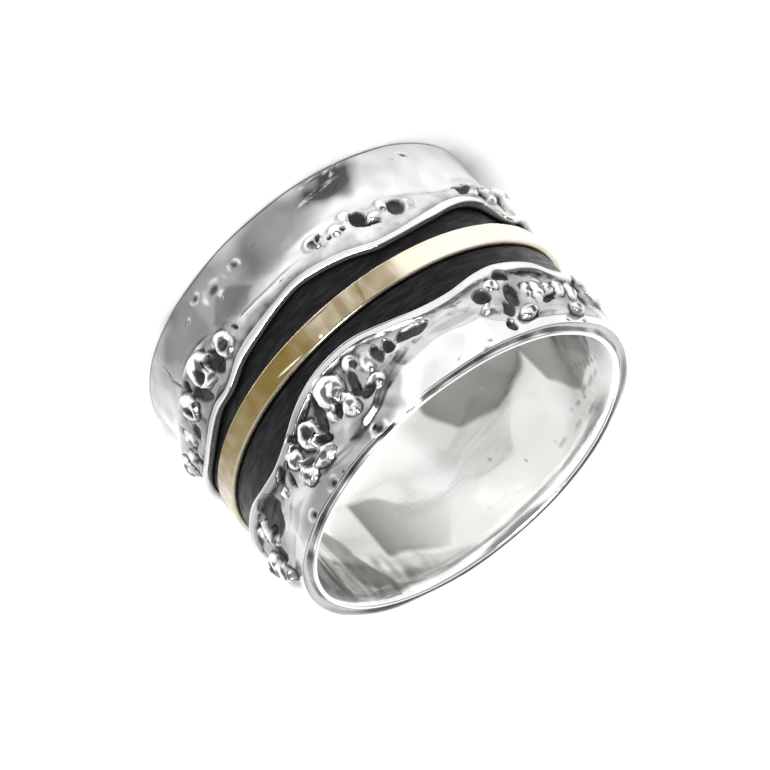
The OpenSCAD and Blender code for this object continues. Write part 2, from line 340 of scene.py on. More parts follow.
def hidden_granules(count, nearest, farthest, shift):
    """Granules for the side that the photo doesn't show, in turn round the ring."""
    grains = []
    for i in range(count):
        size = 0.55 + 0.2 * wave_of(212 * i + shift)
        angle = HIDDEN_FROM + i * (HIDDEN_TO - HIDDEN_FROM) / (count - 1)
        place = (nearest + farthest) / 2 + (farthest - nearest) / 2 * wave_of(137.5 * i + shift)
        grains.append((angle, place, size, size * (1 + 0.25 * wave_of(292 * i)), 30 * wave_of(246 * i)))
    return grains


front_hidden = hidden_granules(17, 1.05, 1.95, 23)
back_hidden = hidden_granules(16, 1.15, 1.75, 109)
print("granules:", len(FRONT_GRANULES + front_hidden), "and", len(BACK_GRANULES + back_hidden))

# %% Hollows between the granules: angle, height, half width, half height, lean
FRONT_HOLLOWS = [
    (26.3, 10.62, 0.36, 0.36, 0), (20.8, 10.6, 0.3, 1.1, -22), (15.6, 11.15, 0.22, 0.5, -30),
    (32.2, 11.55, 0.4, 0.18, -20), (24, 11.5, 0.5, 0.28, -30), (31, 10.15, 0.4, 0.22, -40),
    (22.8, 9.75, 0.45, 0.1, 25), (42, 10.6, 0.5, 0.2, 20), (40.5, 11.3, 0.14, 0.5, -25),
    (57, 10.95, 1.25, 0.95, 10), (62.3, 11.2, 0.24, 0.24, 0), (68.6, 11.9, 0.72, 0.46, 0),
    (80, 11.2, 0.35, 0.5, 20), (7.6, 10.7, 0.28, 0.8, -15), (6, 11.5, 0.5, 0.3, 0),
    (-2.4, 10.35, 0.3, 0.5, 0), (-6, 10.35, 0.35, 0.4, -20), (-13, 10.5, 0.9, 0.28, -8),
    (-36, 10.75, 0.5, 0.45, 0), (-46, 9.98, 0.5, 0.26, -10), (-44.8, 11.2, 0.42, 0.8, -20),
    (-41, 11.9, 0.35, 0.45, 0), (-38.8, 12.7, 0.3, 0.34, 0), (-56.2, 11.9, 0.7, 0.2, 20),
    (-73, 11.5, 0.5, 0.9, -20),
]
BACK_HOLLOWS = [
    (40.5, 3.85, 0.45, 0.32, 12), (34, 4, 0.5, 0.65, 0), (28.4, 3.9, 0.34, 0.32, 0),
    (45.8, 4.15, 0.42, 0.85, 38), (53.8, 4, 0.34, 0.3, 0), (59, 4.6, 0.5, 0.35, 20),
    (49, 3.1, 0.3, 0.35, 0), (67, 4.3, 0.36, 0.36, 0), (70.5, 5, 0.4, 0.4, 20),
    (22.6, 3.7, 0.1, 0.22, 20), (-10.8, 3.35, 0.12, 0.34, -40), (-13.3, 3.7, 0.14, 0.1, 0),
    (-17.8, 3.72, 0.16, 0.12, 0), (-23, 3.65, 0.44, 0.52, -20), (-25.3, 4.25, 0.5, 0.14, -15),
    (-34.8, 3.95, 0.52, 0.5, 0), (-60.5, 3.9, 0.5, 0.4, 10),
    (-67.5, 4.2, 0.45, 0.5, 0), (-76, 4.6, 0.5, 0.5, 0),
]


def hidden_hollows(grains, lip_mean, towards):
    """A hollow beside each granule of the hidden half, on the other side of the trough."""
    return [(grain[0] + 5.7, lip_mean / MM + towards * (3 - grain[1]), 0.4, 0.3 + 0.4 * grain[2], grain[4])
            for grain in grains]


# %% Marks in the smooth zones: angle, height, half width, half height, lean, depth
FRONT_MARKS = [
    (29, 12.25, 1.5, 0.22, -17, -0.1), (31.9, 13.15, 0.26, 0.2, 0, 0.12),
    (44.7, 13.1, 0.26, 0.18, 0, 0.12), (27, 13.25, 0.1, 0.1, 0, 0.05),
    (10.8, 13.2, 0.3, 0.24, 0, 0.12), (-26.8, 13.4, 0.25, 0.13, 10, 0.1),
    (-29.7, 13, 0.18, 0.08, -20, 0.06), (-66.5, 13.3, 0.2, 0.12, 0, 0.1),
    (-59, 13.2, 0.15, 0.1, 0, 0.05), (-18.7, 13.05, 0.2, 0.05, 20, 0.04),
    (38, 12.2, 0.1, 0.06, 0, 0.05), (105, 12.9, 0.25, 0.15, 0, 0.1),
    (160, 13.1, 0.2, 0.2, 0, 0.08), (222, 13, 0.3, 0.15, 20, 0.08),
]
BACK_MARKS = [
    (40.5, 2.65, 1.2, 0.2, -4, -0.1), (9, 3.72, 1.9, 0.13, 0, -0.07), (-15, 2.95, 2.2, 0.35, 0, -0.04),
    (53.6, 1.4, 0.05, 0.5, -13, 0.07), (34, 1.2, 0.14, 0.05, 20, 0.04),
    (21, 1.3, 0.45, 0.26, 0, 0.07), (11.6, 1.25, 0.2, 0.16, -20, 0.07), (27.2, 0.75, 0.2, 0.14, 0, 0.07),
    (35, 1.1, 0.3, 0.04, 10, 0.03), (52.2, 2.35, 0.05, 0.6, 33, 0.07), (-21.5, 0.3, 0.5, 0.06, 4, 0.06),
    (-20, 0.98, 0.7, 0.05, 8, 0.06), (-25, 1.3, 0.4, 0.05, 30, 0.03), (-15, 1.2, 0.3, 0.06, -50, 0.03),
    (-52, 0.85, 0.3, 0.12, -20, 0.09), (-47, 1, 0.2, 0.05, 0, 0.03), (-29, 0.25, 0.35, 0.06, 35, 0.04),
    (4, 1.25, 0.3, 0.05, 0, 0.02), (20.6, 1.95, 0.06, 0.06, 0, 0.04), (-3, 2.6, 0.2, 0.05, -40, 0.02),
    (110, 1.5, 0.3, 0.3, 0, 0.08), (172, 1, 0.2, 0.3, 20, 0.07), (230, 1.8, 0.4, 0.2, 0, 0.08),
]

# %% Faces that mirror something darker: corners (angle, height), brightness, softness of the edges
FRONT_FACES = [
    ([(0, 10.9), (-6, 10.9), (1, 13.3), (5, 12.8), (7, 11.6)], 0.62, 0.3),
    ([(48, 11.6), (28, 12.8), (22, 13.1), (30, 13.6), (50, 13.6), (58, 13.1)], 0.7, 0.3),
]
BACK_FACES = [
    ([(-15, 0.4), (-27, 0), (-35, 0.3), (-31, 1.6), (-23, 2), (-13, 1.7)], 0.12, 0.8),
    ([(6, 0.2), (-15, 0.3), (-14, 1.7), (-2, 2.8), (3, 3.5), (11, 2.7)], 0.72, 0.6),
    ([(17, 1.8), (11, 2.7), (15, 3.5), (26, 3.1), (28, 2.2)], 0.6, 0.25),
    ([(46, 0.3), (30, 0.3), (29, 2.5), (34, 2.9), (44, 2.3), (52, 1)], 0.72, 0.4),
    ([(-34, 0.2), (-48, 1.2), (-43, 2.4), (-29, 1.8)], 0.8, 0.8),
    ([(57, 0.3), (50, 2.9), (63, 2.9), (76, 1.6), (70, 0.3)], 0.8, 0.2),
]

# %% Painted grey reflections on the silver, in clouds: angle, height, half width, half height, lean, strength
FRONT_PAINTED_REFLECTIONS = [
    (30, 13.1, 4.2, 0.8, 0, 0.5), (10, 12.7, 1.5, 0.7, 0, 0.5), (-24, 11.2, 1.3, 0.2, -5, 0.3),
    (75, 12, 3, 2, 0, 0.25), (30, 10.4, 5, 1.3, 0, 0.3), (180, 12.5, 9, 1.2, 0, 0.3),
]
BACK_PAINTED_REFLECTIONS = [
    (30, 1.6, 5, 2.2, 0, 0.57), (60, 1.6, 3, 2, 0, 0.15), (14, 2.7, 1.8, 0.9, -10, 0.2),
    (-19, 0.8, 1.9, 0.8, 0, 0.2), (-2, 1.5, 2.6, 1.6, 0, 0.5), (14, 4.3, 3.4, 0.35, 0, 0.35),
    (50, 4.2, 3.5, 0.9, 0, 0.35), (180, 2, 9, 1.6, 0, 0.25),
]

# %% [markdown]
# A border is one silver piece. On the bench the smith melts scraps and balls of silver onto it, so
# they merge with the metal and with each other, and leave hollows where the black stays. Here its
# surface is a radius at every point of a grid, and the cells below work on it in the smith's order.

# %% Grid of a border
SLICES = 900
FIELD_ROWS = 86
LIP_EDGE = 0.08 * MM
LIP_W = 0.4 * MM
STEP_FROM = 0.15 * MM
STEP_W = 0.6 * MM
RIM_BLOWS = 130
CHIPS = 420
CHIP_R = 0.9 * MM
CHIP_DEPTH = 0.08 * MM
CHIP_SPREAD = 1.2 * MM
FRONT_GRIME = [(0, 0.8), (15, 1), (80, 1), (180, 0.8), (300, 1), (318, 1), (330, 0.5), (350, 0.5)]
BACK_GRIME = [(0, 0.5), (24, 0.8), (35, 1), (75, 1), (180, 0.8), (290, 0.6), (320, 0.4), (345, 0.3)]


class BorderGrid:
    """Plan and grid of one border; q runs from the lip's edge to the rim, z up or down with it."""

    def __init__(self, plan):
        vars(self).update(plan)
        angles = (np.arange(SLICES) + 0.5) * 360 / SLICES * self.towards
        self.angles = angles % 360
        self.a = self.angles[:, None]
        self.lip = self.lip_line(self.angles)[:, None]
        rim = self.rim_z + RIM_WOBBLE * self.line_ripple(0, 5 * MM)
        self.length = self.towards * (rim - self.lip)
        share = np.linspace(0, 1, FIELD_ROWS)[None, :]
        self.q = LIP_EDGE + share * (self.length - EDGE_SOFT - LIP_EDGE)
        self.z = self.lip + self.towards * self.q
        self.find_zones()
        self.find_roughness()

    def line_ripple(self, step, wave):
        """Unevenness that changes only round the ring."""
        return hand_ripple(self.angles, 0, self.seed + step, wave)[:, None]

    def ripple(self, step, wave, count=14):
        """Unevenness all over the border."""
        return hand_ripple(self.a, self.z, self.seed + step, wave, count)

    def away(self, spot):
        """How far out each point lies from a spot."""
        return oval(self.a, self.z, spot)

    def find_zones(self):
        """Where the lip ends, and where the rough field steps up to the smooth zone."""
        end = curve_through(self.field_end, self.angles)[:, None] * MM
        self.zone_end = self.towards * (end - self.lip)
        self.step_up = eased((self.zone_end + STEP_FROM - self.q) / STEP_W)
        self.crest = crest_r + 0.03 * MM * self.line_ripple(1, 4 * MM)
        self.lip_w = LIP_W + 0.08 * MM * self.line_ripple(7, 4 * MM)
        self.lip_end = eased((self.q - self.lip_w) / (0.13 * MM))

    def find_roughness(self):
        """Hammer blows, chips, ragged outlines, and how much black has stayed."""
        zone = sorted([self.rim_z, self.step_z])
        self.blows = scatter(self.seed + 6, RIM_BLOWS, *zone)
        field_mid = float(np.mean(self.z[:, int(0.3 * FIELD_ROWS)]))
        chips = scatter(self.seed + 11, CHIPS, field_mid - CHIP_SPREAD, field_mid + CHIP_SPREAD)
        self.crumple = np.minimum(planishing(self.a, self.z, chips, trough_r, CHIP_R), CHIP_DEPTH)
        self.ragged = 1 + 0.3 * self.ripple(10, 0.8 * MM, 24)
        self.rounder = 0.5 + 0.5 * self.ragged
        self.grime = curve_through(self.grime_line, self.angles)[:, None]


# %% [markdown]
# The smooth zone is a shallow saddle with the bowls of a round hammer, and rises to the rim. The field
# beside the lip lies a step lower and is crumpled, as metal is that was nearly molten.

# %% Hammered zone and rough field
RIM_BLOW_R = 9 * MM
RIM_DENT = 0.1 * MM
RIM_RISE = 0.2 * MM
RIDGE_H = 0.08 * MM
RIDGE_W = 0.2 * MM


def hammered_ground(grid):
    """Radius of the bare border before anything is melted on."""
    wide = grid.length - grid.zone_end
    place = unit((grid.length - grid.q) / wide)
    dip = 0.6 * SADDLE * np.sin(pi * place) ** 2
    rise = RIM_RISE * unit(wide / (1.3 * MM))
    smooth_zone = rim_r + 0.02 * MM - dip + rise * place ** 2.5
    surface = smooth_zone * (1 - grid.step_up) + field_r * grid.step_up
    ridge = np.exp(-((grid.q - grid.zone_end + STEP_FROM) / RIDGE_W) ** 2)
    surface += RIDGE_H * ridge * np.clip(0.5 + 0.9 * grid.ripple(5, 3 * MM), 0, 1.4)
    hammered = np.minimum(planishing(grid.a, grid.z, grid.blows, rim_r, RIM_BLOW_R), RIM_DENT)
    surface -= 0.75 * hammered * (1 - 0.6 * grid.step_up)
    surface += 0.05 * MM * grid.ripple(2, 3.2 * MM)
    surface += 0.03 * MM * grid.step_up * grid.ripple(3, 0.9 * MM)
    surface -= 0.7 * grid.crumple * grid.step_up
    return surface


# %% [markdown]
# A granule is a melted ball: a low dome with two flat facets that break its reflections. A smooth
# maximum melts it into what is there already. The largest come first, so small ones sit on them, and
# each gets a painted reflection of the dark camera in its middle, in swirls.

# %% Granules
GRANULE_FLAT = 0.62
SEAT_PLAY = 0.1 * MM
FACETS_PER_GRANULE = 2


def granule_dome(grid, spot, apart, seat, dice):
    """Radius of one granule, cut by its facets."""
    proud = GRANULE_FLAT * min(spot[2], spot[3]) * MM
    dome = seat + proud * unit(1 - apart) ** 0.5
    around = arc(grid.a, spot[0], trough_r)
    along = grid.z - spot[1] * MM
    for _ in range(FACETS_PER_GRANULE):
        turn, tilt = dice.uniform(0, 2 * pi), dice.uniform(0.2, 0.6)
        face = seat + 0.97 * proud - tilt * (around * cos(turn) + along * sin(turn))
        dome = np.minimum(dome, face)
    return dome


def melt_granules(grid, surface):
    """Melts the granules on; the second result is their painted reflection, a tone, and -1 where there is
    none.
    """
    reflection_swirls = unit(0.5 + 3.2 * grid.ripple(13, 0.6 * MM)) * grid.grime
    blend = (0.145 - 0.12 * grid.grime) * MM
    dice = np.random.default_rng(grid.seed + 16)
    painted_reflection = np.full_like(surface, -1.0)
    for grain in sorted(grid.granules, key=lambda grain: -grain[2] * grain[3]):
        spot = (grain[0], grid.lip_mean / MM + grid.towards * grain[1], *grain[2:])
        apart = grid.away(spot) * grid.rounder
        near = apart < 1
        if not near.any():
            continue
        seat = np.clip(np.median(surface[near]), field_r - SEAT_PLAY, field_r + SEAT_PLAY)
        dome = granule_dome(grid, spot, apart, seat, dice)
        surface = smooth_max(np.where(near, dome, seat - 0.4 * MM), surface, blend)
        core_a = spot[0] - degrees(0.2 * spot[2] * MM / trough_r)
        core = (core_a, spot[1] + 0.2 * spot[3], 0.65 * spot[2], 0.65 * spot[3], spot[4])
        # Painted reflection: the dark of the camera in the middle of the granule, in swirls.
        painted_dark_core = unit(3 - 2.8 * grid.away(core) * grid.ragged) * reflection_swirls
        painted_reflection = np.where(apart < 1.05, 1 - 0.85 * painted_dark_core, painted_reflection)
    surface -= 0.2 * grid.crumple * grid.step_up
    return surface, painted_reflection


# %% [markdown]
# The lip is a bead along the channel, joined to the field with a small fillet. A hollow is pressed
# in with a steep wall, a large one down to a smooth floor. Marks are the dents and scratches of wear,
# and bumps where their depth is negative.

# %% Lip, hollows and marks
LIP_JOIN = 0.06 * MM
LARGE_HOLLOW = 0.42
HOLLOW_DEPTH = 0.26


def raise_lip(grid, surface):
    """Adds the bead of the lip to the surface."""
    lip_flat = grid.crest - 0.08 * MM * np.clip(grid.q / grid.lip_w, 0, 2)
    beside_lip = surface * (0.15 + 0.85 * grid.lip_end) + lip_flat * 0.85 * (1 - grid.lip_end)
    return smooth_max(lip_flat - 0.5 * MM * grid.lip_end, beside_lip, LIP_JOIN)


def press_hollows(grid, surface):
    """Presses the hollows in; black is 1 on their floors."""
    black = np.zeros_like(surface)
    for spot in grid.hollows:
        small = min(spot[2], spot[3])
        apart = grid.away(spot) * (grid.ragged if small < LARGE_HOLLOW else 0.6 + 0.4 * grid.rounder)
        depth = min(HOLLOW_DEPTH, 0.12 + 0.5 * small) * MM
        surface = surface - depth * unit(1.15 - apart) ** 0.8
        if small > LARGE_HOLLOW:
            pressed = unit(1.5 - 1.3 * apart)
            surface = surface * (1 - pressed) + (field_r - depth) * pressed
        black = np.maximum(black, unit(3.2 - 2.9 * apart))
    return surface, black


def press_marks(grid, surface, black):
    """Presses the marks in, each with a low wall round it; the deep ones are black inside."""
    for spot in grid.marks:
        apart = grid.away(spot)
        pit = spot[5] * MM * np.exp(-apart * 1.1)
        wall = 0.25 * spot[5] * MM * np.exp(-(apart - 2.4) ** 2)
        surface = surface - pit + wall
        black = np.maximum(black, unit(spot[5] / 0.08) * unit(1.3 - 1.6 * apart))
    return surface, black


def clear_of_belt(grid, surface):
    """Lifts what would dip into the belt under the lip."""
    over_belt = grid.towards * (grid.z - grid.step_z) < 0.05 * MM
    return np.where(over_belt, np.maximum(surface, lip_under + 0.05 * MM), surface)


# %% [markdown]
# A border is blackened all over and then polished, so the black stays where the cloth can't reach:
# on the floors of the hollows and in every crevice, found by comparing the surface with a blurred
# copy of itself. Where the silver is bare, its tone says how bright a part of the room it mirrors;
# bumps and broken rings round the dents are brightest.

# %% Soot and tone of a border
LIP_PAINTED_GREY = [(0, 0.25), (20, 0.4), (75, 0.4), (130, 0.2), (200, 0.1), (290, 0), (335, 0.1)]
FAINT_MARK = 0.035


def soot_mask(grid, surface, black):
    """1 where the black stays, 0 where the silver is bare."""
    crevice = unit((soften(surface, 6) - surface) / (0.02 * MM) - 0.4)
    valley = np.clip((soften(surface, 60) - surface) / (0.1 * MM) - 0.1, 0, 0.75) * grid.step_up
    ground = unit((field_r + 0.08 * MM - surface) / (0.12 * MM)) * grid.step_up
    return np.maximum(grid.grime * np.maximum(np.maximum(crevice, valley), 0.45 * ground), black)


def metal_tone(grid):
    """Facets by the rim, a greyer field, and the lip with its foot and a painted grey reflection."""
    facets = soften(facet_tone(grid.a, grid.z, grid.blows, rim_r, grid.seed + 8), 2)
    tone = 1 - 0.16 * facets * (1 - grid.step_up)
    tone = tone * (1 - 0.25 * grid.step_up * unit(0.6 + grid.ripple(12, 1.2 * MM)))
    lip_foot = np.exp(-((grid.q - grid.lip_w - 0.2 * MM) / (0.16 * MM)) ** 2)
    tone = tone * (1 - 0.5 * grid.grime * lip_foot)
    # A painted grey reflection on the lip, behind its bright edge line.
    lip_painted_grey = curve_through(LIP_PAINTED_GREY, grid.angles)[:, None]
    lip_painted_grey = lip_painted_grey * unit((grid.q - 0.1 * MM) / (0.05 * MM))
    return tone * grid.lip_end + (1 - lip_painted_grey) * (1 - grid.lip_end)


def silver_tone(grid, painted_reflection):
    """Tone of the whole border, with the clouds, faces, marks and granules."""
    tone = metal_tone(grid)
    # Painted grey reflections, where the silver would mirror darker parts of the room.
    for cloud in grid.clouds:
        tone = tone * (1 - cloud[5] * unit(1.6 - 1.2 * grid.away(cloud)))
    tone = tone * (1 - 0.05 * (1 + grid.ripple(9, 1.6 * MM)))
    bent = grid.z + 0.25 * MM * grid.ripple(14, 1.5 * MM)
    tone = shade_faces(tone, grid.a, bent, grid.faces, rim_r)
    # Painted highlights: each bump, and a broken ring round each deeper dent.
    uneven = np.clip(0.35 + 0.9 * grid.ripple(15, 0.9 * MM), 0, 0.8)
    for spot in grid.marks:
        if abs(spot[5]) > FAINT_MARK:
            apart = grid.away(spot)
            ring = uneven * np.exp(-((apart - 2.8) / 1.4) ** 2)
            tone = tone + (1 - tone) * (unit(1.4 - apart) if spot[5] < 0 else ring)
    return np.where(painted_reflection >= 0, painted_reflection, tone)


# %% [markdown]
# The grid gets its edges last: a rounded one along the lip, a soft one at the rim, and the hidden
# inside that lies on the belt and the sleeve. The two borders differ only in their lists.

# %% The two borders
EDGE_TURNS = np.radians(np.linspace(180, 100, 6))
END_TONE = 0.72


def close_border(grid, surface, soot, tone):
    """Joins the edges and the hidden inside to the surface, from the lip round the rim."""
    one = np.ones_like(grid.length)
    none = np.zeros_like(grid.length)
    edge_q = LIP_EDGE * (1 + np.cos(EDGE_TURNS))[None, :] + 0 * grid.length
    edge_r = grid.crest - LIP_EDGE * (1 - np.sin(EDGE_TURNS))[None, :]
    rim_q = [grid.length] * 3
    step_q = [grid.towards * (grid.step_z - grid.lip)] * 2
    q = np.hstack([0.03 * MM * one, 0 * one, edge_q, grid.q, *rim_q, *step_q])
    end_r = surface[:, -1:]
    radii = np.hstack(
        [lip_under * one, (lip_under + EDGE_SOFT) * one, edge_r, surface,
         end_r - 0.3 * EDGE_SOFT, end_r - EDGE_SOFT, belt_in * one, belt_in * one, lip_under * one])
    soot = np.hstack([one, one, none * edge_q, soot, none, none, none, one, one])
    end_tone = [END_TONE * tone[:, -1:], END_TONE * one, END_TONE * one]
    tone = np.hstack([one, one, one + none * edge_q, tone, *end_tone, one, one])
    heights = grid.lip + grid.towards * q
    skin = ring_skin(grid.name, grid.angles, radii, heights, {"soot": soot, "tone": tone})
    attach(skin, "ring")
    return skin


def border_skin(**plan):
    """One border, from the bare metal to the finished skin."""
    grid = BorderGrid(plan)
    surface = hammered_ground(grid)
    surface, painted_reflection = melt_granules(grid, surface)
    surface = raise_lip(grid, surface)
    surface, black = press_hollows(grid, surface)
    surface, black = press_marks(grid, surface, black)
    surface = clear_of_belt(grid, surface)
    return close_border(grid, surface, soot_mask(grid, surface, black), silver_tone(grid, painted_reflection))


front_border = border_skin(
    name="front_border_relief", towards=1, seed=11,
    lip_line=front_lip, lip_mean=front_lip_z, field_end=FRONT_FIELD_END,
    rim_z=ring_high - RIM_BACK, step_z=belt_high + SEAM,
    granules=FRONT_GRANULES + front_hidden,
    hollows=FRONT_HOLLOWS + hidden_hollows(front_hidden, front_lip_z, 1),
    marks=FRONT_MARKS, faces=FRONT_FACES, clouds=FRONT_PAINTED_REFLECTIONS, grime_line=FRONT_GRIME)
back_border = border_skin(
    name="back_border_relief", towards=-1, seed=37,
    lip_line=back_lip, lip_mean=back_lip_z, field_end=BACK_FIELD_END,
    rim_z=ring_low + RIM_BACK, step_z=belt_low - SEAM,
    granules=BACK_GRANULES + back_hidden,
    hollows=BACK_HOLLOWS + hidden_hollows(back_hidden, back_lip_z, -1),
    marks=BACK_MARKS, faces=BACK_FACES, clouds=BACK_PAINTED_REFLECTIONS, grime_line=BACK_GRIME)
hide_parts("front_border")
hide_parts("back_border")

# %% [markdown]
# The gold band is a strip, soldered to a hoop and planished: a polished hammer leaves wide flat
# facets, and the two edges stay as bright rounded lines. It rides on the body that spins.

# %% Gold band: its shape
BAND_SLICES = 1200
BAND_ROWS = 26
BAND_BLOWS = 34
BAND_BLOW_R = 11 * MM
BAND_DENT = 0.09 * MM
BAND_MARGIN = 0.2 * MM
band_angles = np.arange(BAND_SLICES) * 360 / BAND_SLICES
band_a = band_angles[:, None]
band_rows = np.linspace(0, 1, BAND_ROWS)[None, :]
band_blows = scatter(5, BAND_BLOWS, band_low + BAND_MARGIN, band_high - BAND_MARGIN)
flat_low = band_low + BAND_EDGE * 0.9
flat_high = band_high - BAND_EDGE * 0.9
flat_z = flat_low + band_rows * (flat_high - flat_low) + 0 * band_a
blow_depth = planishing(band_a, flat_z, band_blows, band_r, BAND_BLOW_R)
facets = np.minimum(blow_depth, BAND_DENT) - BAND_DENT
inward = np.sin(pi * band_rows) ** 0.5
flat_r = band_r + inward * facets * 0.8
edge_turns = np.radians(np.linspace(0, 80, 7))
edge_r = (band_r - BAND_EDGE * (1 - np.sin(edge_turns)))[None, :]
edge_off = BAND_EDGE * (1 - np.cos(edge_turns))
one = np.ones_like(band_a)
inner = (band_r - BAND_T) * one
band_rr = np.hstack([inner, edge_r * one, flat_r, edge_r[:, ::-1] * one, inner])
band_zz = np.hstack([
    band_low * one, (band_low + edge_off)[None, :] * one, flat_z,
    (band_high - edge_off[::-1])[None, :] * one, band_high * one])
print("facets up to %.3f mm deep" % (-facets.min() * 0.8 / MM))

# %% [markdown]
# The gold's tone is painted shade: the gold is darker and browner where it would mirror a darker
# part of the room, and single facets mirror a darker part of it too. The tone is 1 on bright gold and
# 0 on shaded gold: a curve round the ring sets it, clouds vary it, and two lists add the spots and
# facets. A spot below 0 is a scratch with a painted highlight.

# %% Gold band: its tone
GOLD_TONE = [
    (3, 0.36), (9, 0.2), (20, 0.05), (35, 0.08), (50, 0.17), (62, 0.33), (75, 0.5), (100, 0.6),
    (150, 0.7), (200, 0.35), (240, 0.6), (290, 0.95), (334, 0.95), (339, 0.62), (343, 0.46), (352, 0.36),
]
# Painted spots: a positive strength is painted shade, a negative one a scratch with a painted highlight.
GOLD_PAINTED_SPOTS = [
    (65.5, 6.75, 0.42, 0.26, 20, 0.5), (6, 7.62, 0.1, 0.12, 30, -1), (18, 7.5, 0.8, 0.05, -8, -1),
]
GOLD_FACES = [
    ([(14, 5.8), (8.6, 5.8), (8.2, 8.5), (12, 8.5)], 0.6, 0.1),
    ([(26, 5.8), (15, 5.8), (12, 8.5), (30, 8.5)], 0.7, 0.12),
    ([(-2.2, 5.8), (-4.2, 5.8), (-4.6, 8.5), (-1.2, 8.5)], 0.5, 0.15),
    ([(-10.8, 6), (-11.6, 6), (-9, 8.2), (-8, 8.2)], 0.4, 0.12),
    ([(2, 5.8), (-3, 5.8), (-8.5, 8.5), (4, 8.5)], 0.8, 0.1),
    ([(-12, 6.5), (-19.5, 6.5), (-21.5, 8.5), (-14, 8.5)], 0.7, 0.15),
    ([(58, 5.8), (44, 5.8), (42, 8.5), (57, 8.5)], 0.88, 0.15),
    ([(40, 5.8), (33, 5.8), (35, 8.5), (41, 8.5)], 0.85, 0.15),
    ([(-50, 5.8), (-58, 5.8), (-60, 8.5), (-51, 8.5)], 0.92, 0.2),
]
band_tone = curve_through(GOLD_TONE, band_angles)[:, None] * np.ones_like(band_zz)
band_faceted = soften(facet_tone(band_a, band_zz, band_blows, band_r, 6), 1)
band_clouds = 0.35 * hand_ripple(band_a, band_zz, 19, 0.9 * MM) - 0.5 * band_faceted
band_tone = band_tone * (1 + (1 - band_tone) * band_clouds)
band_tone = shade_faces(band_tone, band_a, band_zz, GOLD_FACES, band_r)
for painted_spot in GOLD_PAINTED_SPOTS:
    spot = unit(1.6 - 1.2 * oval(band_a, band_zz, painted_spot))
    band_tone = band_tone * (1 - abs(painted_spot[5]) * spot) + max(-painted_spot[5], 0) * spot
# The rounded edges get a painted highlight: their tone is lifted towards 0.9.
edge_share = unit(np.maximum(flat_low - band_zz, band_zz - flat_high) / (0.05 * MM))
band_tone = band_tone + (0.9 - band_tone) * 0.5 * edge_share

gold_band = ring_skin("gold_band_planished", band_angles, band_rr, band_zz, {"tone": band_tone})
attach(gold_band, "spinner")
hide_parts("spinner_band")

# %% [markdown]
# The sleeve is bright inside. It was forged round a mandrel, so its wall keeps broad soft bowls
# that bend the reflections, and its two mouths flare out and end in a bright rounded edge. The wall
# shows a few large faces, each as grey as what it mirrors, nicks, brown streaks and a satin patch.

# %% Faces inside the sleeve: corners, brightness, softness, angle where it fades out
SLEEVE_FACETS = [
    ([(184, 3), (226, 6.4), (219, 7.6), (206, 7.9), (187, 7.3), (181, 4.9)], 0.26, 0.3, 0),
    ([(172, 4.2), (186, 4.4), (188, 7.8), (176, 8.2)], 0.72, 1, 0),
    ([(222, 6.4), (270, 11.2), (232, 11.4), (223, 9.6)], 0.33, 0.2, 0),
    ([(236, 8), (262, 11), (252, 11.6), (240, 10)], 0.7, 0.2, 0),
    ([(139.5, 7.1), (152, 7.6), (170, 10), (160, 12), (139.5, 10.7)], 0.2, 0.25, 170),
    ([(112, 9.8), (122, 10.6), (141, 11.5), (150, 12.2), (140, 13), (98, 13)], 0.6, 0.4, 0),
    ([(128, 6.5), (139.5, 7.1), (139.5, 10.7), (124, 10.2)], 0.8, 0.3, 0),
    ([(139, 10.9), (151, 11.7), (170, 12.9), (140, 13.2)], 0.75, 0.25, 0),
]

# %% Nicks and streaks inside the sleeve: angle, height, half width, half height, lean, brightness; above 1 it is a painted highlight
SLEEVE_NICKS = [
    (188, 9.6, 0.08, 0.14, 20, 0.4), (197, 11.1, 0.1, 0.1, 0, 0.45), (209, 11.8, 0.1, 0.08, 0, 0.4),
    (178, 11.6, 0.12, 0.05, 30, 0.5), (202, 6.5, 0.05, 0.2, 15, 1.4), (206, 7, 0.04, 0.16, 15, 1.4),
    (128, 10.2, 0.25, 0.07, 30, 1.5), (117, 10.6, 0.3, 0.1, 20, 0.4), (246, 11.6, 1.3, 0.07, 18, 0.45),
    (238, 11.9, 1.6, 0.09, 10, 0.5), (228, 11.8, 1.2, 0.05, 14, 0.55), (240, 10.9, 1.3, 0.05, 24, 0.5),
    (215, 12.2, 1.5, 0.05, 6, 0.6), (250, 10.2, 0.5, 0.16, 40, 0.5),
]

# %% Polished sleeve: its shape
SLEEVE_SLICES = 900
SLEEVE_ROWS = 70
SLEEVE_BLOWS = 60
SLEEVE_BLOW_R = 40 * MM
SLEEVE_DENT = 0.06 * MM
SLEEVE_MARGIN = 0.8 * MM
SLEEVE_END = 0.02 * MM
SLEEVE_ROUND = 0.03 * MM
SEAM_RING = 0.09 * MM
sleeve_angles = np.arange(SLEEVE_SLICES) * 360 / SLEEVE_SLICES
sleeve_a = sleeve_angles[:, None]
sleeve_rows = np.linspace(0, 1, SLEEVE_ROWS)[None, :]
wall_z = ring_low + SLEEVE_END + sleeve_rows * (ring_high - ring_low - 2 * SLEEVE_END) + 0 * sleeve_a
from_mouth = np.minimum(wall_z - ring_low, ring_high - wall_z)
flare = MOUTH_FLARE * unit(1 - from_mouth / MOUTH_L) ** 2
sleeve_blows = scatter(9, SLEEVE_BLOWS, ring_low + SLEEVE_MARGIN, ring_high - SLEEVE_MARGIN)
bowls = np.minimum(planishing(sleeve_a, wall_z, sleeve_blows, bore_r, SLEEVE_BLOW_R), SLEEVE_DENT)
wall_r = bore_r + flare - 0.6 * bowls + 0.02 * MM * hand_ripple(sleeve_a, wall_z, 21, 4 * MM)
level = np.ones_like(sleeve_a)
outer = sleeve_r * level
front = ring_high * level
back = ring_low * level
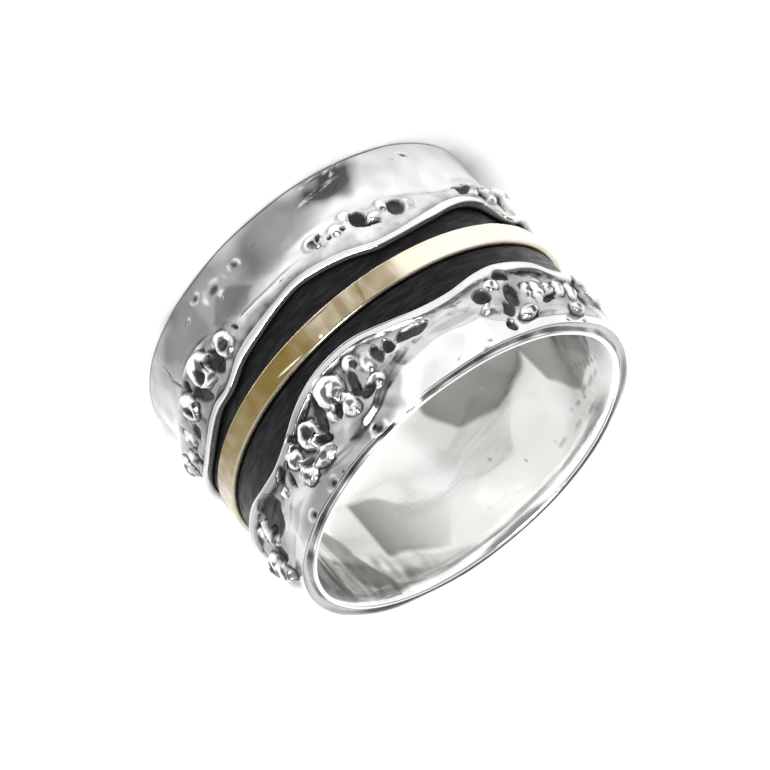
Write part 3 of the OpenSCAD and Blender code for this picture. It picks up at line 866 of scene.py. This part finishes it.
lip_in = wall_r[:, -1:] + SLEEVE_END
sleeve_rr = np.hstack([
    wall_r, lip_in, outer - SEAM_RING, outer - SLEEVE_ROUND, outer,
    outer, outer - SLEEVE_ROUND, lip_in])
sleeve_zz = np.hstack([
    wall_z, front, front, front, front - SLEEVE_ROUND, back + SLEEVE_ROUND, back, back])
print("bowls up to %.3f mm deep" % (0.6 * bowls.max() / MM))

# %% Polished sleeve: its tone
DARK_STREAK_PATCH = (128, 11.9, 4.6, 1.5, 0)
SATIN_SPOT = (262, 11.7, 4.4, 3, 0)
wall_bend = 0.3 * MM * hand_ripple(sleeve_a, wall_z, 33, 3 * MM)
wall_tone = np.ones_like(wall_z)
for corners, tone, soft, fade_to in SLEEVE_FACETS:
    patch = flat_patch(sleeve_a, wall_z + wall_bend, corners, soft * MM, bore_r)
    if fade_to:
        first = corners[0][0]
        patch = patch * (1 - unit((sleeve_a - first) / (fade_to - first)))
    wall_tone = wall_tone * (1 - (1 - tone) * patch)
# The wall's tone is darker in a streaky patch.
dark_streak_patch = unit(1.4 - oval(sleeve_a, wall_z, DARK_STREAK_PATCH))
streaks = unit(0.4 + 0.7 * hand_ripple(sleeve_a, 0.5 * wall_z, 43, 0.9 * MM))
wall_tone = wall_tone * (1 - 0.6 * dark_streak_patch * streaks)
for nick in SLEEVE_NICKS:
    wall_tone = wall_tone * (1 - (1 - nick[5]) * unit(1.5 - oval(sleeve_a, wall_z, nick)))
seam_tone = np.clip(0.55 + 0.6 * hand_ripple(sleeve_angles, 0, 41, 2 * MM), 0.1, 1)[:, None]
sleeve_tone = np.hstack([wall_tone, level, level, 0.95 * level, seam_tone, level, level, level])
satin = unit(1.5 - oval(sleeve_a, sleeve_zz, SATIN_SPOT))

sleeve_masks = {"tone": sleeve_tone, "satin": satin}
sleeve = ring_skin("sleeve_polished", sleeve_angles, sleeve_rr, sleeve_zz, sleeve_masks)
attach(sleeve, "ring")
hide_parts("sleeve")

# %% [markdown]
# Metal shows what it reflects, so its finish lives in the roughness and in the bump. Every finish
# below starts from one shader and adds noise at the scale of the real marks: scratches of a few
# hundredths of a millimetre, and clouds a millimetre wide.

# %% Material helpers
MARK_DEPTH = 0.02 * MM


def new_finish(name):
    """A fresh material with its node tree and main shader."""
    finish = bpy.data.materials.new(name)
    finish.use_nodes = True
    print("finish", name)
    return finish, finish.node_tree, finish.node_tree.nodes["Principled BSDF"]


def feed(tree, value, socket):
    """Joins another node's output to a socket, or sets it to a number or a colour."""
    if isinstance(value, bpy.types.NodeSocket):
        tree.links.new(value, socket)
    else:
        socket.default_value = value


def noise_at(tree, scale, detail, stretch=(1, 1, 1)):
    """Noise in the object's own space, in waves of about one over scale metres."""
    where = tree.nodes.new("ShaderNodeTexCoord")
    place = tree.nodes.new("ShaderNodeMapping")
    place.inputs["Scale"].default_value = stretch
    noise = tree.nodes.new("ShaderNodeTexNoise")
    noise.inputs["Scale"].default_value = scale
    noise.inputs["Detail"].default_value = detail
    feed(tree, where.outputs["Object"], place.inputs["Vector"])
    feed(tree, place.outputs["Vector"], noise.inputs["Vector"])
    return noise.outputs["Fac"]


def ramp(tree, source, low, high, from_low=0.35, from_high=0.65):
    """Maps a value, by default the usual spread of noise, to a range."""
    spread = tree.nodes.new("ShaderNodeMapRange")
    limits = {"From Min": from_low, "From Max": from_high, "To Min": low, "To Max": high}
    for name, limit in limits.items():
        spread.inputs[name].default_value = limit
    feed(tree, source, spread.inputs["Value"])
    return spread.outputs["Result"]


def mask_of(tree, name):
    """A value that the mesh carries at each point."""
    mask = tree.nodes.new("ShaderNodeAttribute")
    mask.attribute_name = name
    return mask.outputs["Fac"]


def worked_out(tree, operation, *values):
    """One step of arithmetic on numbers or on other nodes' outputs."""
    step = tree.nodes.new("ShaderNodeMath")
    step.operation = operation
    for value, socket in zip(values, step.inputs):
        feed(tree, value, socket)
    return step.outputs["Value"]


def mixed(tree, share, first, second):
    """A colour between the first and the second, as the share goes from 0 to 1."""
    mix = tree.nodes.new("ShaderNodeMix")
    mix.data_type = "RGBA"
    feed(tree, share, mix.inputs["Factor"])
    feed(tree, first, mix.inputs["A"])
    feed(tree, second, mix.inputs["B"])
    return mix.outputs["Result"]


def dress(tree, shader, colour, metal, rough):
    """Gives a shader its colour, its share of metal and its roughness."""
    feed(tree, colour, shader.inputs["Base Color"])
    feed(tree, metal, shader.inputs["Metallic"])
    feed(tree, rough, shader.inputs["Roughness"])


def bump(tree, shader, height, strength):
    """Raises small marks on a shader."""
    relief = tree.nodes.new("ShaderNodeBump")
    relief.inputs["Strength"].default_value = strength
    relief.inputs["Distance"].default_value = MARK_DEPTH
    feed(tree, height, relief.inputs["Height"])
    feed(tree, relief.outputs["Normal"], shader.inputs["Normal"])


# %% [markdown]
# The borders are polished silver with black sulphide in the hollows. The tone mask dims the silver
# and the soot mask turns it black. Sulphide is matt, so the same mask also raises the roughness.

# %% Silver of the borders
UNLIT = (0, 0, 0, 1)
STERLING = (0.79, 0.79, 0.8, 1)
SULPHIDE = (0.02, 0.02, 0.022, 1)
SULPHIDE_MATT = 0.3
SULPHIDE_METAL = 0.6


def border_silver():
    finish, tree, shader = new_finish("border_silver")
    thin = ramp(tree, noise_at(tree, 900, 3), 0.93, 1)
    grime = worked_out(tree, "MULTIPLY", mask_of(tree, "soot"), thin)
    bare = mixed(tree, mask_of(tree, "tone"), UNLIT, STERLING)
    colour = mixed(tree, grime, bare, SULPHIDE)
    metal = ramp(tree, grime, 1, SULPHIDE_METAL, 0, 1)
    wear = ramp(tree, noise_at(tree, 1400, 5), 0.06, 0.2)
    rough = worked_out(tree, "MULTIPLY_ADD", grime, SULPHIDE_MATT, wear)
    dress(tree, shader, colour, metal, rough)
    shader.inputs["Specular IOR Level"].default_value = 0.25
    bump(tree, shader, noise_at(tree, 2600, 4), 0.25)
    return finish


# %% [markdown]
# The finger polishes the sleeve, with fine strokes along the ring. It mirrors itself, so it is
# lighter than the borders. The tone mask shades its faces, and the satin mask dulls the rubbed patch.

# %% Silver inside the sleeve
BRIGHT_SILVER = (0.99, 0.99, 0.99, 1)
WARM_SILVER = (0.93, 0.92, 0.9, 1)
SHADED_SILVER = (0.09, 0.083, 0.075, 1)
MIRROR_METAL = 0.82
SATIN_METAL = 0.2


def sleeve_silver():
    finish, tree, shader = new_finish("sleeve_silver")
    metal = ramp(tree, mask_of(tree, "satin"), MIRROR_METAL, SATIN_METAL, 0, 1)
    warm = ramp(tree, noise_at(tree, 160, 2), 0, 1)
    tint = mixed(tree, warm, BRIGHT_SILVER, WARM_SILVER)
    shaded = mixed(tree, mask_of(tree, "tone"), SHADED_SILVER, tint)
    wear = ramp(tree, noise_at(tree, 700, 5), 0.03, 0.09)
    dress(tree, shader, shaded, metal, wear)
    bump(tree, shader, noise_at(tree, 700, 4, (1, 1, 14)), 0.2)
    return finish


# %% [markdown]
# The belt in the channel is silver blackened on purpose. It is nearly black and rather matt, with
# slightly shinier strokes along the ring where the gold has rubbed it.

# %% Blackened silver
BELT_DARK = (0.005, 0.005, 0.006, 1)
BELT_RUBBED = (0.024, 0.023, 0.026, 1)


def blackened_silver():
    finish, tree, shader = new_finish("blackened_silver")
    shader.inputs["Specular IOR Level"].default_value = 0.25
    strokes = noise_at(tree, 900, 5, (1, 1, 6))
    rubbed = ramp(tree, strokes, 0, 1, 0.42, 0.8)
    colour = mixed(tree, rubbed, BELT_DARK, BELT_RUBBED)
    dress(tree, shader, colour, 0.6, ramp(tree, strokes, 0.5, 0.32))
    bump(tree, shader, strokes, 0.12)
    return finish


# %% [markdown]
# The gold is pale 14 carat, duller than the silver because it scratches sooner. Two nearly equal
# golds in clouds keep it alive, and the tone mask leads to a dark brown gold, the painted shade.

# %% Gold
PALE_GOLD = (0.88, 0.83, 0.71, 1)
WARM_GOLD = (0.86, 0.79, 0.62, 1)
# Gold in painted shade, where it would mirror a darker part of the room.
SHADED_GOLD = (0.155, 0.107, 0.024, 1)


def planished_gold():
    finish, tree, shader = new_finish("planished_gold")
    clouds = ramp(tree, noise_at(tree, 420, 3), 0, 1)
    tint = mixed(tree, clouds, PALE_GOLD, WARM_GOLD)
    shaded_gold = mixed(tree, mask_of(tree, "tone"), SHADED_GOLD, tint)
    wear = ramp(tree, noise_at(tree, 1500, 4), 0.14, 0.28)
    dress(tree, shader, shaded_gold, 1, wear)
    bump(tree, shader, noise_at(tree, 2400, 4), 0.2)
    return finish


# %% [markdown]
# Both borders are one silver and share a finish. The belt keeps its CAD shape, as its wall is plain.

# %% Put the finishes on
silver = border_silver()
worn = {front_border: silver, back_border: silver, sleeve: sleeve_silver(), gold_band: planished_gold()}
for piece, finish in worn.items():
    piece.data.materials.clear()
    piece.data.materials.append(finish)
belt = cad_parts["dark_belt"]
belt.material_slots[0].material = blackened_silver()

# %% [markdown]
# The floor is plain and nearly white, like the paper of a product photo.

# %% Floor
PAPER_WHITE = (0.95, 0.95, 0.95, 1)


def studio_floor():
    bpy.ops.mesh.primitive_plane_add(size=4, location=(0, 0, 0))
    floor = bpy.context.object
    floor.name = "studio_floor"
    finish, tree, shader = new_finish("floor_paper")
    dress(tree, shader, PAPER_WHITE, 0, 0.9)
    floor.data.materials.append(finish)


studio_floor()

# %% [markdown]
# Polished metal shows what stands round it, so the studio matters as much as the finish. The ring
# stands in a white tent, bright along the horizon and dim overhead. The camera looks in through a
# dark opening, which the faces towards us mirror as grey. Two soft lamps add the brightest areas.

# %% Light
CAM_ABOVE = radians(26.2)
OPENING = radians(18)
OPENING_SOFT = radians(9)
TENT_BRIGHT = 1.1
TENT_DIM = 0.19
DIM_FROM = 0.42
DIM_TO = 0.66
OPENING_GLOW = 0.08
LAMP_AWAY = 0.5


def soft_lamp(name, azimuth, elevation, size, power):
    """A square soft lamp that looks at the ring; azimuth 0 is the camera's side."""
    a, e = radians(azimuth), radians(elevation)
    spot = Vector((sin(a) * cos(e), -cos(a) * cos(e), sin(e))) * LAMP_AWAY
    light = bpy.data.lights.new(name, "AREA")
    light.shape = "SQUARE"
    light.size = size
    light.energy = power
    lamp = bpy.data.objects.new(name, light)
    lamp.location = spot
    lamp.rotation_euler = (-spot).to_track_quat("-Z", "Y").to_euler()
    bpy.context.collection.objects.link(lamp)
    print(name, "of", power, "W")


def light_tent():
    world = bpy.data.worlds.new("light_tent")
    world.use_nodes = True
    tree = world.node_tree
    where = tree.nodes.new("ShaderNodeTexCoord")
    split = tree.nodes.new("ShaderNodeSeparateXYZ")
    feed(tree, where.outputs["Generated"], split.inputs["Vector"])
    overhead = ramp(tree, split.outputs["Z"], TENT_BRIGHT, TENT_DIM, DIM_FROM, DIM_TO)
    towards_camera = tree.nodes.new("ShaderNodeVectorMath")
    towards_camera.operation = "DOT_PRODUCT"
    towards_camera.inputs[1].default_value = (0, -cos(CAM_ABOVE), sin(CAM_ABOVE))
    feed(tree, where.outputs["Generated"], towards_camera.inputs[0])
    opening = ramp(tree, towards_camera.outputs["Value"], 1, OPENING_GLOW,
                   cos(OPENING + OPENING_SOFT), cos(OPENING))
    glow = worked_out(tree, "MULTIPLY", overhead, opening)
    feed(tree, glow, tree.nodes["Background"].inputs["Strength"])
    tree.nodes["Background"].inputs["Color"].default_value = (1, 1, 1, 1)
    bpy.context.scene.world = world


soft_lamp("key_lamp", 4, 52, 0.12, 1.3)
soft_lamp("top_lamp", 60, 84, 0.2, 1.7)
light_tent()
bpy.context.scene.view_settings.view_transform = "Standard"

# %% [markdown]
# The camera stands 250 mm away with a long lens, 26 degrees above the plane of the rim, and is
# turned about its own axis so that the finger hole points to the lower right.

# %% Camera
CAM_DISTANCE = 250 * MM
CAM_ROLL = radians(138.97)
CAM_LENS = 232.4
CAM_AIM = Vector((0, 0, 7.7 * MM))
CAM_SIDE = -0.744 * MM
CAM_UP = 0.417 * MM


def photo_camera():
    back = Vector((0, -cos(CAM_ABOVE), sin(CAM_ABOVE)))
    rise = Vector((0, sin(CAM_ABOVE), cos(CAM_ABOVE)))
    across = Vector((1, 0, 0))
    right = cos(CAM_ROLL) * across + sin(CAM_ROLL) * rise
    up = -sin(CAM_ROLL) * across + cos(CAM_ROLL) * rise
    lens = bpy.data.cameras.new("photo_camera")
    lens.lens = CAM_LENS
    lens.sensor_width = 36
    lens.clip_start = 0.01
    lens.clip_end = 10
    camera = bpy.data.objects.new("photo_camera", lens)
    spot = CAM_AIM + CAM_DISTANCE * back + CAM_SIDE * right + CAM_UP * up
    turn = Matrix((right, up, back)).transposed().to_4x4()
    camera.matrix_world = Matrix.Translation(spot) @ turn
    bpy.context.collection.objects.link(camera)
    bpy.context.scene.camera = camera
    print("camera %.0f mm away, lens %.1f" % (CAM_DISTANCE / MM, CAM_LENS))


photo_camera()

# %% [markdown]
# The look keeps the CAD model's size.
